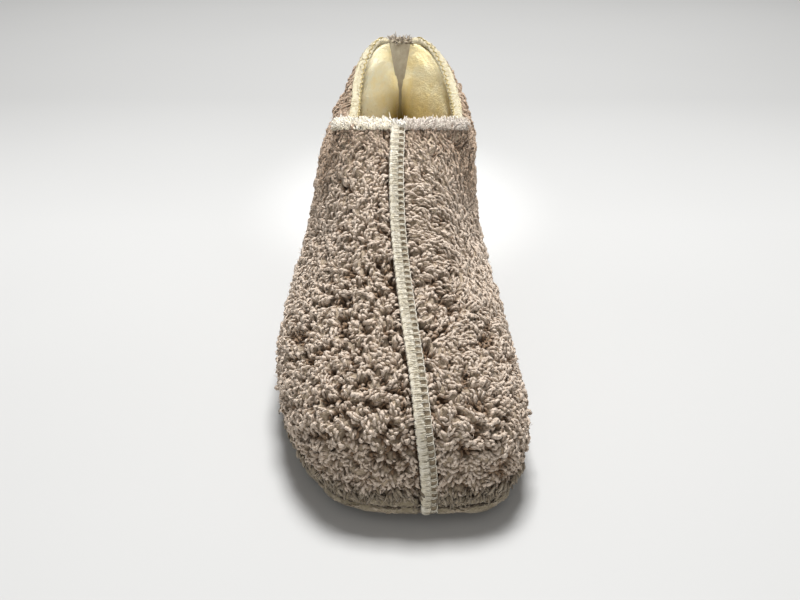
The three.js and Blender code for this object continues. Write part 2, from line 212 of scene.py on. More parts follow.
def mesh_object(name, points, quads, tris=()):
    """An object whose mesh has these points, in millimetres, and faces."""
    quads = np.asarray(quads, np.int32).reshape(-1, 4)
    tris = np.asarray(tris, np.int32).reshape(-1, 3)
    mesh = bpy.data.meshes.new(name)
    mesh.vertices.add(len(points))
    mesh.vertices.foreach_set("co", (np.asarray(points, np.float32) * METRES).ravel())
    corners = np.concatenate([quads.ravel(), tris.ravel()])
    mesh.loops.add(len(corners))
    mesh.loops.foreach_set("vertex_index", corners)
    starts = np.concatenate([np.arange(len(quads)) * 4, len(quads) * 4 + np.arange(len(tris)) * 3])
    mesh.polygons.add(len(starts))
    mesh.polygons.foreach_set("loop_start", starts.astype(np.int32))
    mesh.polygons.foreach_set("use_smooth", np.ones(len(starts), bool))
    mesh.update(calc_edges=True)
    mesh.validate()
    made = bpy.data.objects.new(name, mesh)
    bpy.context.scene.collection.objects.link(made)
    return made


def keep_values(piece, name, values):
    """Stores four numbers a point, which the material reads by name."""
    layer = piece.data.attributes.new(name, "FLOAT_COLOR", "POINT")
    layer.data.foreach_set("color", np.asarray(values, np.float32).ravel())


def keep_bake_map(piece, places):
    """A UV map in which alike places of alike strands lie together."""
    layer = piece.data.uv_layers.new(name="OFBake")
    corner_points = np.zeros(len(piece.data.loops), np.int32)
    piece.data.loops.foreach_get("vertex_index", corner_points)
    layer.data.foreach_set("uv", np.asarray(places, np.float32)[corner_points].ravel())


def grid_quads(rows, columns):
    """Quads over a grid of points stored row by row, whose rows are closed rings."""
    i = np.arange(rows - 1)[:, None]
    j = np.arange(columns)[None, :]
    here, there = i * columns, (i + 1) * columns
    right = (j + 1) % columns
    return np.stack(np.broadcast_arrays(here + j, here + right, there + right, there + j), -1).reshape(-1, 4)


def fan(ring):
    """Triangles that close a ring of points."""
    return np.stack([np.full(len(ring) - 2, ring[0]), ring[1:-1], ring[2:]], -1)


def ring_stack(name, points, turned=True):
    """A closed mesh through rings of points, (rings, sides, 3)."""
    rings, sides, _ = points.shape
    quads = grid_quads(rings, sides)
    tris = np.concatenate([fan(np.arange(sides)[::-1]), fan((rings - 1) * sides + np.arange(sides))])
    if turned:
        quads, tris = quads[:, ::-1], tris[:, ::-1]
    return mesh_object(name, points.reshape(-1, 3), quads, tris)


def tubes(paths, radii, sides, up, flat=1.0, twist=0.0):
    """Closed tubes along many paths at once. paths is (tubes, steps, 3), radii (tubes, steps)."""
    count, steps, _ = paths.shape
    along = unit(np.gradient(paths, axis=1))
    up = np.broadcast_to(up[:, None, :] if up.ndim == 2 else up, paths.shape)
    high = unit(up - (up * along).sum(-1, keepdims=True) * along)
    wide = np.cross(along, high)
    twisted = (np.ones(count) * twist)[:, None] * np.linspace(0, 1, steps)
    turn = np.arange(sides) / sides * 2 * np.pi + np.pi / sides + twisted[:, :, None]
    ring = np.cos(turn)[..., None] * wide[:, :, None] + flat * np.sin(turn)[..., None] * high[:, :, None]
    points = paths[:, :, None] + ring * radii[:, :, None, None]
    starts = (np.arange(count) * steps * sides)[:, None, None]
    ends = np.concatenate([fan(np.arange(sides)), fan((steps - 1) * sides + np.arange(sides)[::-1])])
    return points.reshape(-1, 3), grid_quads(steps, sides)[:, ::-1] + starts, ends + starts


def ring_angles(sides):
    """Angles of points round a tube."""
    return np.arange(sides) / sides * 2 * np.pi


def rounded(wave, power=0.8):
    """A sine or cosine whose ring is squarer than a circle."""
    return np.sign(wave) * np.abs(wave) ** power


# Materials


def linear(code):
    """A colour code such as "a09080" as the linear colour that a shader takes."""
    parts = [int(code[i:i + 2], 16) / 255 for i in (0, 2, 4)]
    return (*[c / 12.92 if c <= 0.04045 else ((c + 0.055) / 1.055) ** 2.4 for c in parts], 1.0)


class Nodes:
    """Short calls to build a node material."""

    def __init__(self, name, roughness=0.9, sheen=0.0, sheen_roughness=0.5, specular=0.3):
        self.material = bpy.data.materials.new(name)
        self.material.use_nodes = True
        self.tree = self.material.node_tree
        self.shader = next(node for node in self.tree.nodes if node.type == "BSDF_PRINCIPLED")
        self.shader.inputs["Roughness"].default_value = roughness
        self.shader.inputs["Sheen Weight"].default_value = sheen
        self.shader.inputs["Sheen Roughness"].default_value = sheen_roughness
        self.shader.inputs["Specular IOR Level"].default_value = specular

    def node(self, kind, inputs=None, **settings):
        made = self.tree.nodes.new("ShaderNode" + kind)
        for key, value in settings.items():
            setattr(made, key, value)
        for key, value in (inputs or {}).items():
            self.feed(made.inputs[key], value)
        return made

    def feed(self, socket, value):
        if isinstance(value, bpy.types.NodeSocket):
            self.tree.links.new(value, socket)
        else:
            socket.default_value = value

    def stored(self):
        """The four numbers kept at each point."""
        kept = self.node("Attribute", attribute_name="strand")
        parts = self.node("SeparateColor", {"Color": kept.outputs["Color"]}).outputs
        return parts["Red"], parts["Green"], parts["Blue"], kept.outputs["Alpha"]

    def place(self):
        return self.node("TexCoord").outputs["Object"]

    def math(self, operation, a, b=0.0):
        return self.node("Math", {0: a, 1: b}, operation=operation).outputs[0]

    def mix(self, factor, a, b, blend="MIX"):
        made = self.node("Mix", data_type="RGBA", blend_type=blend)
        self.feed(made.inputs[0], factor)
        self.feed(made.inputs[6], a)
        self.feed(made.inputs[7], b)
        return made.outputs[2]

    def noise(self, vector, scale, detail=2.0, roughness=0.5):
        return self.node("TexNoise", {"Vector": vector, "Scale": scale, "Detail": detail,
                                      "Roughness": roughness}).outputs["Fac"]

    def lumps(self, size, detail=3.0, roughness=0.7):
        """Noise in lumps of a size in millimetres."""
        return self.noise(self.place(), 1 / (size * METRES), detail, roughness)

    def tones(self, factor, dark, light, low=0.3, high=0.7):
        """From a dark to a light colour as the factor goes from low to high."""
        return self.ramp(factor, [(low, linear(dark)), (high, linear(light))])

    def darkened(self, factor, share, base, dark):
        """The base multiplied by a dark colour, where the factor is high."""
        return self.mix(self.math("MULTIPLY", factor, share), base, (*dark, 1), "MULTIPLY")

    def ramp(self, factor, stops):
        made = self.node("ValToRGB", {"Fac": factor})
        points = made.color_ramp.elements
        while len(points) < len(stops):
            points.new(0.5)
        for point, (position, colour) in zip(points, stops):
            point.position = position
            point.color = colour
        return made.outputs["Color"]

    def bump(self, height, distance, strength=1.0):
        made = self.node("Bump", {"Height": height, "Distance": distance * METRES, "Strength": strength})
        self.tree.links.new(made.outputs["Normal"], self.shader.inputs["Normal"])

    def colour(self, value):
        self.feed(self.shader.inputs["Base Color"], value)


# Lock colours from root to tip, whose darker root colour is painted shade at the roots, and FLEECE_SHADE, the
# painted shade colour for the valleys between clumps and for the quarters.
FLEECE_ROOT, FLEECE_TIP, FLEECE_SHADE = "d8c6b3", "f0e1d2", "937a62"


def strand_material(name, root, tip, shade, sheen=0.3):
    """Wool locks: painted shade darkens them towards their roots and in the valleys, with fine fibres along
    each lock.
    """
    made = Nodes(name, roughness=0.9, sheen=sheen, specular=0.15)
    along, tone, depth, phase = made.stored()
    fibres = made.node("CombineXYZ", {"X": made.math("MULTIPLY", phase, 7.0),
                                      "Y": made.math("MULTIPLY", along, 1.4),
                                      "Z": made.math("MULTIPLY", tone, 61.0)}).outputs[0]
    streak = made.noise(fibres, 1.0, 2.0, 0.6)
    speckle = made.lumps(0.5, 2.0, 0.6)
    # Lighter towards the tips: painted shade at the roots, mixed with each lock's random tone.
    lightness = made.math("ADD", made.math("MULTIPLY", along, 0.35), made.math("MULTIPLY", tone, 0.65))
    base = made.mix(lightness, linear(root), linear(tip))
    streaked = made.darkened(streak, 0.35, base, (0.66, 0.62, 0.58))
    fuzzy = made.darkened(speckle, 0.35, streaked, (0.7, 0.67, 0.63))
    # The stored depth mixes in the painted shade colour where it is low.
    made.colour(made.mix(depth, linear(shade), fuzzy))
    made.bump(made.math("ADD", streak, speckle), 0.2, 0.7)
    return made.material


def ground_material(name):
    """The wool between the locks: fine fibres, with painted shade in the valleys and beside the front seam.
    """
    made = Nodes(name, roughness=0.95, sheen=0.2, specular=0.1)
    fine = made.lumps(0.9)
    # Painted shade: the stored depth mixes in a dark brown.
    made.colour(made.mix(made.stored()[2], linear("4a3625"), made.tones(fine, "9d8b74", "cfbea8")))
    made.bump(fine, 0.6, 0.9)
    return made.material


def pile_material(name, colours, lump, sheen=0.3, bump=0.5):
    """Soft brushed wool: blended tones in lumps, with a fine fibre bump."""
    made = Nodes(name, roughness=0.92, sheen=sheen, specular=0.15)
    big, fine = made.lumps(lump, 3.0, 0.55), made.lumps(0.6)
    made.colour(made.darkened(fine, 0.3, made.tones(big, *colours), (0.75, 0.72, 0.66)))
    made.bump(made.math("ADD", big, fine), bump, 0.7)
    return made.material


def dress(piece, material, slot, *nodes):
    """Gives a piece its material and its body, and hides the CAD nodes that it stands for; the slot is not
    used.
    """
    piece.data.materials.clear()
    piece.data.materials.append(material)
    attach(piece, "root")
    if nodes:
        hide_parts(*nodes)
    return piece


# The wall and its clumps of wool

SHELL_COLUMNS, SHELL_ROWS, BACK_STEP = 400, 81, 4
CLUMP_SPACING = 3.3
CLUMP_DROP = 1.9
GROUND_DEPTH = 0.65
LOCK_SPACING = 1.26
LOCK_STEPS = 5
FRONT_CLEAR, HEEL_CLEAR = 3.4, 1.7
STRAND_SIDES = 3
TRIES_PER_CELL = 3.5
rng = np.random.default_rng(7)


def wall_at(u, v):
    """Thickness of the wall, thinner at the collar and pinched in the heel's crease."""
    plain = WALL + (COLLAR_WALL - WALL) * smoothstep(v, 0.75, 1)
    from_heel = np.linalg.norm(form(u, v) - form(np.pi, v), axis=-1)
    return plain - CREASE_DEPTH * np.exp(-((from_heel / CREASE_WIDTH) ** 2)) * smoothstep(v, 0, 0.2)


def even_angles(count, v=0.25):
    """Angles in even steps along the outline of a ring."""
    tries = np.linspace(0, np.pi, 801)
    steps = np.linalg.norm(np.diff(form(tries, v), axis=0), axis=-1)
    length = np.concatenate([[0], np.cumsum(steps)])
    half = np.interp(np.linspace(0, length[-1], count // 2 + 1), length, tries)
    return np.concatenate([half, 2 * np.pi - half[-2:0:-1]])


def joining_faces(fine, coarse, step, flip):
    """Triangles from a closed ring of points to one with a point for each step of them."""
    count = len(coarse)
    j = np.arange(count)
    here, after = coarse[j], coarse[(j + 1) % count]
    middle = step // 2
    fans = [(fine[step * j + k], fine[(step * j + k + 1) % len(fine)], here if k < middle else after)
            for k in range(step)]
    fans.append((fine[step * j + middle], after, here))
    tris = np.concatenate([np.stack(fan, -1) for fan in fans])
    return tris[:, ::-1] if flip else tris


def shell(name, face, back, face_is_outside):
    """A closed wall: a fine grid for the face that shows, and a coarser one behind it."""
    rows, columns, _ = face.shape
    back = back[::BACK_STEP, ::BACK_STEP]
    back_rows, back_columns, _ = back.shape
    points = np.concatenate([face.reshape(-1, 3), back.reshape(-1, 3)])
    face_quads = grid_quads(rows, columns)
    back_quads = grid_quads(back_rows, back_columns)[:, ::-1] + rows * columns
    foot, back_foot = np.arange(columns), rows * columns + np.arange(back_columns)
    rim, back_rim = foot + (rows - 1) * columns, back_foot + (back_rows - 1) * back_columns
    tris = np.concatenate([joining_faces(foot, back_foot, BACK_STEP, True),
                           joining_faces(rim, back_rim, BACK_STEP, False)])
    quads = np.concatenate([face_quads, back_quads])
    if not face_is_outside:
        quads, tris = quads[:, ::-1], tris[:, ::-1]
    return mesh_object(name, points, quads, tris)


def surface_sampler(v_range):
    """Random places on the form, evenly by area."""
    us = np.linspace(0, 2 * np.pi, 361)
    vs = np.linspace(*v_range, 141)
    points = form(us[:, None], vs[None, :])
    across_u, across_v = points[1:, :-1] - points[:-1, :-1], points[:-1, 1:] - points[:-1, :-1]
    area = np.linalg.norm(np.cross(across_u, across_v), axis=-1)
    odds = np.cumsum(area.ravel())

    def sample(count):
        cell = np.searchsorted(odds, rng.random(count) * odds[-1])
        i, j = np.unravel_index(cell, area.shape)
        return (us[i] + rng.random(count) * (us[1] - us[0]),
                vs[j] + rng.random(count) * (vs[1] - vs[0]))

    return sample, odds[-1]


def scatter(spacing, v_range=(0.0, 1.0)):
    """Places on the form that keep at least a spacing apart."""
    sample, area = surface_sampler(v_range)
    u, v = sample(int(TRIES_PER_CELL * area / spacing ** 2))
    points = form(u, v)
    cells = {}
    kept = []
    around = [(i, j, m) for i in (-1, 0, 1) for j in (-1, 0, 1) for m in (-1, 0, 1)]
    limit = spacing ** 2
    for k, (key, p) in enumerate(zip(np.floor(points / spacing).astype(int).tolist(), points.tolist())):
        x, y, z = key
        px, py, pz = p
        near = False
        for i, j, m in around:
            q = cells.get((x + i, y + j, z + m))
            if q and (px - q[0]) ** 2 + (py - q[1]) ** 2 + (pz - q[2]) ** 2 < limit:
                near = True
                break
        if not near and (x, y, z) not in cells:
            cells[(x, y, z)] = p
            kept.append(k)
    return u[kept], v[kept]


def seam_distance(u, v):
    """Distance from the front seam's and the heel seam's middle lines."""
    points = form(u, v)
    front = np.linalg.norm(points - form(np.zeros_like(u), v), axis=-1)
    heel = np.linalg.norm(points - form(np.full_like(u, np.pi), v), axis=-1)
    return np.where(np.cos(u) > 0, front, 1e3), np.where(np.cos(u) < 0, heel, 1e3)


def curliness(points):
    """1 where the fleece has round curls, 0 where it lies in short grains."""
    x, y = points[:, 0] - SHIFT[0], points[:, 1] - SHIFT[1]
    toe = 1 - smoothstep(y, 45, 110)
    outer = 1 - smoothstep(x, -8, 20)
    return np.clip(0.1 + toe * (0.55 + 0.35 * outer) + 0.35 * outer * (1 - smoothstep(y, 120, 200)), 0, 1)


def quarter_painted_shade(points):
    """1 on the quarters beside the opening, where painted shade darkens the fleece."""
    return smoothstep(points[:, 1] - SHIFT[1], 112, 140) * smoothstep(points[:, 2], 55, 95)


def flow_at(u, v):
    """Unit directions in which the fleece lies: down the vamp, and outwards beside the seam."""
    around, upward = tangents(u, v)
    away = around * np.sign(np.sin(u))[..., None]
    points = form(u, v)
    front, _ = seam_distance(u, v)
    inner = np.sin(u) > 0
    beside = np.where(inner, 78 - 62 * smoothstep(front, 4, 46), 48 - 30 * smoothstep(front, 10, 60))
    lean = np.radians(np.where(np.cos(u) > 0, beside, 8)) * (1 - 0.6 * smoothstep(v, 0.8, 1))
    wander = np.where(inner, 0.5, 1.0)
    lean = lean + wander * (0.5 * noise(points, 15, 1) + 0.3 * noise(points, 6, 2))
    return unit(away * np.sin(lean)[..., None] - upward * np.cos(lean)[..., None])


class Clumps:
    """Curved bundles of wool over the form: at random angles where it curls, else along the way it lies."""

    def __init__(self):
        self.u, self.v = scatter(CLUMP_SPACING)
        self.centres = form(self.u, self.v)
        count = len(self.u)
        curl = curliness(self.centres)
        self.normal = outward(self.u, self.v)
        wander = np.stack([noise(self.centres, 7, seed) for seed in (31, 32, 33)], -1)
        mixed = flow_at(self.u, self.v) * (1.05 - curl)[:, None] + 1.4 * wander * curl[:, None]
        mixed = mixed + rng.normal(0, 0.16, (count, 3)) + curl[:, None] * rng.normal(0, 0.4, (count, 3))
        mixed -= (mixed * self.normal).sum(-1, keepdims=True) * self.normal
        self.way = unit(mixed)
        self.side = np.cross(self.normal, self.way)
        self.stretch = 1.85 - 0.65 * curl
        self.bend = rng.normal(0, 0.1, count) + curl * rng.choice([-0.3, 0.3], count)
        self.radius = CLUMP_SPACING * (0.48 + 0.08 * curl) * rng.uniform(0.75, 1.35, count)
        self.top = 0.4 * curl + rng.normal(0, 0.4, count) + 0.4 * noise(self.centres, 11, 4)
        self.top -= 1.4 * (rng.random(count) < 0.08)
        self.top -= (0.4 + 2.2 * curl) * smoothstep(noise(self.centres, 8, 41), 0.5, 0.75)
        self.drop = CLUMP_DROP * (0.5 + 0.5 * curl) * rng.uniform(0.8, 1.2, count)
        self.tone = np.clip(0.5 + 0.2 * rng.normal(0, 1, count) + 0.25 * noise(self.centres, 20, 6), 0, 1)
        self.tree = kdtree.KDTree(count)
        for k, centre in enumerate(self.centres.tolist()):
            self.tree.insert(centre, k)
        self.tree.balance()

    def at(self, points):
        """The bundle that stands highest at each point, its height there, and the place along it."""
        flat = points.reshape(-1, 3)
        near = np.array([[found[1] for found in self.tree.find_n(p, 5)] for p in flat.tolist()])
        offset = flat[:, None] - self.centres[near]
        along = (offset * self.way[near]).sum(-1)
        across = (offset * self.side[near]).sum(-1) - 0.5 * self.bend[near] * along ** 2
        out = (across ** 2 + (along / self.stretch[near]) ** 2) / self.radius[near] ** 2
        height = self.top[near] - self.drop[near] * np.minimum(out, 3)
        best = height.argmax(-1)[:, None]
        take = [np.take_along_axis(values, best, -1)[:, 0].reshape(points.shape[:-1])
                for values in (near, height, along)]
        fine = 0.2 * noise(points, 2.2, 12)
        return take[0], take[1] + fine, take[2]


def deepness(height):
    """0 in the valleys between clumps and 1 on their tops; where it is low, the fleece's colours take painted
    shade.
    """
    return smoothstep(height, -2.5, -0.9)


def fleece_locks(clumps):
    """The paths, radii and stored values of all the fleece's locks."""
    u, v = scatter(LOCK_SPACING, v_range=(0.06, 1.0))
    front, heel = seam_distance(u, v)
    clear = (front > FRONT_CLEAR) & (heel > HEEL_CLEAR)
    u, v = u[clear], v[clear]
    count = len(u)
    base = form(u, v)
    normal = outward(u, v)
    clump, _, along = clumps.at(base)
    curl = np.clip(curliness(base) + 0.2 * noise(base, 14, 3), 0, 1)
    angle = clumps.bend[clump] * along + rng.normal(0, 0.2 + 0.15 * curl, count)
    mixed = clumps.way[clump] * np.cos(angle)[:, None] + clumps.side[clump] * np.sin(angle)[:, None]
    mixed -= (mixed * normal).sum(-1, keepdims=True) * normal
    direction = unit(mixed)
    sideways = np.cross(normal, direction)
    length = (3.7 - 0.7 * curl) * rng.uniform(0.65, 1.35, count)
    turn = clumps.bend[clump] * length + rng.normal(0, 0.3 + 0.9 * curl, count)
    width = (0.6 + 0.12 * curl) * rng.uniform(0.75, 1.3, count)
    t = np.linspace(0, 1, LOCK_STEPS)
    angle = turn[:, None] * (t - 0.5)
    step = direction[:, None] * np.cos(angle)[..., None] + sideways[:, None] * np.sin(angle)[..., None]
    travel = np.cumsum(step, axis=1) - step.sum(1, keepdims=True) * 0.5
    travel = travel * (length / LOCK_STEPS)[:, None, None]
    places = base[:, None] + travel
    _, relief, _ = clumps.at(places)
    lift = rng.uniform(0.0, 0.45, count)[:, None] * np.sin(np.pi * t ** 0.8)[None]
    lift = lift - 0.5 * (2 * t - 1)[None] ** 4
    paths = places + normal[:, None] * (relief + lift)[..., None]
    profile = np.array([0.65, 1.05, 1.1, 0.95, 0.5])
    tone = np.clip(0.65 * clumps.tone[clump] + 0.35 * rng.random(count), 0, 1)
    # Painted shade: darker in the valleys between clumps and on the quarters beside the opening.
    depth = deepness(relief) * (1 - 0.75 * quarter_painted_shade(base))[:, None]
    return {"paths": paths, "radii": width[:, None] * profile, "normal": normal, "tone": tone, "base": base,
            "depth": depth, "twist": rng.normal(0, 1.2, count)}


def strand_piece(name, strands, material, slot):
    """One joined mesh of strands, with the values that their material reads."""
    count, steps, _ = strands["paths"].shape
    piece = mesh_object(name, *tubes(strands["paths"], strands["radii"], STRAND_SIDES, strands["normal"],
                                     0.85, strands["twist"]))
    along = np.broadcast_to(np.linspace(0, 1, steps)[:, None], (count, steps, STRAND_SIDES))
    tone = np.broadcast_to(strands["tone"][:, None, None], along.shape)
    depth = np.broadcast_to(strands["depth"][:, :, None], along.shape)
    phase = np.broadcast_to(np.arange(STRAND_SIDES) / STRAND_SIDES, along.shape)
    keep_values(piece, "strand", np.stack([along, tone, depth, phase], -1).reshape(-1, 4))
    keep_bake_map(piece, np.stack([0.02 + 0.9 * tone + 0.06 * phase, 0.02 + 0.96 * along], -1).reshape(-1, 2))
    return dress(piece, material, slot)


def curved(base, way, length, bend, t):
    """Paths that leave their bases along a way and bend off it, at steps t."""
    t = t[:, None]
    return base[:, None] + way[:, None] * t * length[:, None, None] + bend[:, None] * t ** 2


def loose_wool(name, paths, widths, profile, normal, depth, material, slot, twisted=True):
    """A piece of single strands, whose widths are drawn between two limits.

    depth is a value for each step, or a low and a high limit and a power, drawn for each strand."""
    count, steps, _ = paths.shape
    radii = rng.uniform(*widths, count)[:, None] * np.array(profile)
    tone = rng.random(count)
    if isinstance(depth, tuple):
        low, high, power = depth
        depth = rng.uniform(low, high, count)[:, None] ** power
    strands = {"paths": paths, "radii": radii, "normal": np.broadcast_to(normal, (count, 3)), "tone": tone,
               "depth": np.broadcast_to(depth, (count, steps)),
               "twist": rng.normal(0, 1, count) if twisted else np.zeros(count)}
    return strand_piece(name, strands, material, slot)


def make_fleece():
    clumps = Clumps()
    u = even_angles(SHELL_COLUMNS)[None, :]
    v = np.linspace(0, 1, SHELL_ROWS)[:, None]
    plain = form(u, v)
    _, relief, _ = clumps.at(plain)
    outer = plain + outward(u, v) * (relief * smoothstep(v, 0, 0.05) - GROUND_DEPTH)[..., None]
    inner = raised(u, v, -wall_at(u, v) / 2)
    inner[0, :, 2] = outer[0, :, 2]
    ground = shell("fleece_ground", outer, inner, True)
    front, _ = seam_distance(u + 0 * v, v + 0 * u)
    # Painted shade on the ground: low values in the valleys between clumps and beside the front seam.
    shown = deepness(relief) * smoothstep(front, 3.2, 6.0)
    depth = np.concatenate([shown.ravel(), np.zeros(len(ground.data.vertices) - relief.size)])
    keep_values(ground, "strand", np.stack([depth * 0 + 0.5, depth * 0 + 0.5, depth, depth], -1))
    dress(ground, ground_material("fleece ground"), "fleece", "upper")
    strands = fleece_locks(clumps)
    material = strand_material("fleece locks", FLEECE_ROOT, FLEECE_TIP, FLEECE_SHADE, 0.12)
    y = strands["base"][:, 1]
    inner_side = strands["base"][:, 0] > SHIFT[0] + 4
    edges = (-1e3, -88, -35, 40, 1e3)
    for k, (low, high) in enumerate(zip(edges, edges[1:])):
        along = (y > low) & (y <= high)
        for side, chosen in (("inner", along & inner_side), ("outer", along & ~inner_side)):
            part = {key: values[chosen] for key, values in strands.items()}
            strand_piece(f"fleece_locks_{side}_{k + 1}", part, material, "fleece")
    make_fuzz(material)


def make_fuzz(material):
    """Fine single hairs that stand off the fleece."""
    u, v = scatter(4.0, v_range=(0.03, 1.0))
    count = len(u)
    normal = outward(u, v)
    way = unit(normal + rng.normal(0, 0.9, (count, 3)))
    bend = np.cross(normal, way) * rng.normal(0, 0.9, (count, 1))
    length = rng.uniform(1.0, 2.4, count)
    paths = curved(form(u, v), way, length, bend, np.linspace(0, 1, 4))
    loose_wool("fleece_fuzz", paths, (0.07, 0.12), [1.3, 1, 0.8, 0.4], unit(np.cross(way, bend + 0.01)), 0.9,
               material, "fleece", twisted=False)


make_fleece()

# The lining


def lining_painted_shade(points):
    """The lining's painted shade: yellow low down, in the crease and on the inner side; greenish brown
    deepest.
    """
    low = 1 - smoothstep(points[..., 2], 52, 116)
    aside = points[..., 0] - SHIFT[0]
    crease = np.exp(-(aside / 9) ** 2)
    gold_shade = 0.8 * low + 0.35 * crease + 0.3 * smoothstep(aside, -4, 16) + 0.12 * noise(points, 8, 24)
    olive_shade = np.exp(-(aside / 7) ** 2) * (1 - smoothstep(points[..., 2], 84, 112)) + 0.6 * low ** 2
    return np.clip(gold_shade, 0, 1), np.clip(olive_shade, 0, 1)


def lining_height(u, v):
    """How far the lining's face stands in from the form."""
    points = form(u, v)
    lobes = np.linalg.norm(points - form(np.pi, v), axis=-1)
    bulge = 1.6 * np.exp(-(((lobes - 17) / 9) ** 2)) * smoothstep(v, 0.3, 0.6) * (1 - smoothstep(v, 0.93, 1))
    close = 4.2 * np.exp(-(((lobes - 3.4) / 2.5) ** 2))
    close = close * smoothstep(v, 0.4, 0.55) * (1 - smoothstep(v, 0.83, 0.93))
    soft = 0.6 * noise(points, 9, 21) + 0.4 * noise(points, 3.6, 22) + 0.12 * noise(points, 1.8, 23)
    flush = 0.9 * smoothstep(v, 0.86, 0.97)
    return wall_at(u, v) + flush + bulge + close * (np.cos(u) < 0) + soft * (1 - smoothstep(v, 0.9, 1))


def make_lining():
    u = even_angles(280)[None, :]
    v = np.linspace(0, 1, 93)[:, None]
    inner = raised(u, v, -lining_height(u, v))
    outer = raised(u, v, -wall_at(u, v) / 2 - 0.3)
    inner[0, :, 2] = outer[0, :, 2] = underside(outer[0, :, 1] - SHIFT[1]) + SOLE_THICKNESS + CLEARANCE
    lining = shell("lining", inner, outer, False)
    points = np.empty(len(lining.data.vertices) * 3)
    lining.data.vertices.foreach_get("co", points)
    gold_shade, olive_shade = lining_painted_shade(points.reshape(-1, 3) / METRES)
    keep_values(lining, "strand", np.stack([gold_shade, olive_shade, gold_shade, gold_shade], -1))
    dress(lining, lining_material("lining pile"), "lining")


def lining_material(name):
    """Cream wool pile, with yellow and greenish-brown painted shade in its depths."""
    made = Nodes(name, roughness=0.95, sheen=0.3, specular=0.1)
    gold_shade, olive_shade, _, _ = made.stored()
    fine = made.lumps(0.8)
    pile = made.tones(made.lumps(5.0, 3.0, 0.6), "fff1c0", "fffbe2", 0.3, 0.65)
    # Painted shade: the stored masks mix in yellow and then greenish brown.
    deep = made.mix(olive_shade, made.mix(gold_shade, pile, linear("ebcb6c")), linear("7a5e06"))
    made.colour(made.darkened(fine, 0.22, deep, (0.8, 0.77, 0.7)))
    made.bump(made.math("ADD", made.math("MULTIPLY", made.lumps(2.2, 3.0, 0.6), 2.0), fine), 0.8, 0.7)
    return made.material


make_lining()

# The seams

SEAM_FOOT, SEAM_TOP = -0.032, 1.0
SEAM_OVER_SOLE = 1.7
RIDGE_WIDTH, RIDGE_HEIGHT, RIDGE_ASIDE = 4.0, 2.3, -0.9
BAND_WIDTH, BAND_HEIGHT, BAND_ASIDE = 2.8, 1.3, 2.1
LOOP_PITCH, THREAD_PITCH = 3.1, 0.92
THREAD_RADIUS = 0.17


def seam_line(end, steps, foot=SEAM_FOOT, top=SEAM_TOP):
    """Evenly spaced places up a seam, with the directions across it and out of it, and distances along it."""
    angle = 0.0 if end == "toe" else np.pi
    tries = np.linspace(foot, top, 400)
    length = np.concatenate([[0], np.cumsum(np.linalg.norm(np.diff(form(angle, tries), axis=0), axis=-1))])
    v = np.interp(np.linspace(0, length[-1], steps), length, tries)
    place = form(angle, v)
    out = outward(np.full(steps, angle), v)
    if end == "toe":
        place = place + out * (SEAM_OVER_SOLE * (1 - smoothstep(place[:, 2], 7, 14)))[:, None]
    along = unit(np.gradient(place, axis=0))
    aside = np.cross(along, out) if end == "toe" else np.cross(out, along)
    return place, unit(aside), out, np.linspace(0, length[-1], steps), v


def track_at(distance, lengths, *tracks):
    """Points or directions of each track at distances along a line."""
    return [np.stack([np.interp(distance, lengths, track[:, k]) for k in range(3)], -1) for track in tracks]


def seam_spot(line, distance, aside, height):
    """A point at a distance up a seam, moved sideways and outwards."""
    place, across, out, lengths, _ = line
    place, across, out = track_at(distance, lengths, place, across, out)
    return place + across * np.asarray(aside)[..., None] + out * np.asarray(height)[..., None]


def ridge_piece(name, line, aside, width, height, lumps, material, slot, *nodes, turned=True):
    """A soft closed ridge along a seam, with lumps where its stitches pull it in."""
    lengths = line[3]
    steps, sides = len(lengths), 14
    turn = ring_angles(sides)
    wave = 1 - lumps * (0.5 - 0.5 * np.cos(2 * np.pi * lengths / LOOP_PITCH)) ** 3
    ends = np.sqrt(np.clip(np.minimum(lengths, lengths[-1] - lengths) / 1.2, 0.04, 1))
    across, up = rounded(np.cos(turn)) * width / 2, rounded(np.sin(turn)) * height / 2
    distance = np.broadcast_to(lengths[:, None], (steps, sides))
    points = seam_spot(line, distance, aside + across[None] * (wave * ends)[:, None],
                       -0.2 + height / 2 + up[None] * (wave * ends)[:, None])
    points = points + 0.1 * np.stack([noise(points, 1.3, seed) for seed in (51, 52, 53)], -1)
    return dress(ring_stack(name, points, turned), material, slot, *nodes)


def thread_piece(name, paths, radius, sides, material, slot, *nodes):
    """Threads as joined closed tubes along paths of equal steps."""
    paths = np.asarray(paths)
    radii = np.full(paths.shape[:2], radius) * np.linspace(0.9, 1.1, len(paths))[:, None]
    up = unit(np.cross(np.gradient(paths, axis=1), [0.3, 0.2, 0.9]))
    points, quads, tris = tubes(paths, radii, sides, up)
    return dress(mesh_object(name, points, quads, tris), material, slot, *nodes)


def arches(line, distances, left, right, height, slant, steps=9):
    """Threads that cross a seam from its left to its right over its top."""
    t = np.linspace(0, 1, steps)[None, :]
    aside = left + (right - left) * t
    lift = height * np.sin(np.pi * np.clip(t, 0.02, 0.98)) ** 0.45 - 0.1
    where = distances[:, None] + slant * (t - 0.5) + rng.normal(0, 0.06, (len(distances), 1))
    return seam_spot(line, where, aside + rng.normal(0, 0.08, (len(distances), 1)), lift)


def wool_cord_material(name, dark, light, fine=0.5):
    """Pale wool or cotton with fine fibres."""
    made = Nodes(name, roughness=0.85, sheen=0.3, specular=0.25)
    fibres = made.lumps(fine)
    base = made.tones(made.lumps(3.0, 2.0, 0.5), dark, light, 0.3, 0.75)
    made.colour(made.darkened(fibres, 0.45, base, (0.66, 0.63, 0.58)))
    made.bump(fibres, 0.25, 0.8)
    return made.material


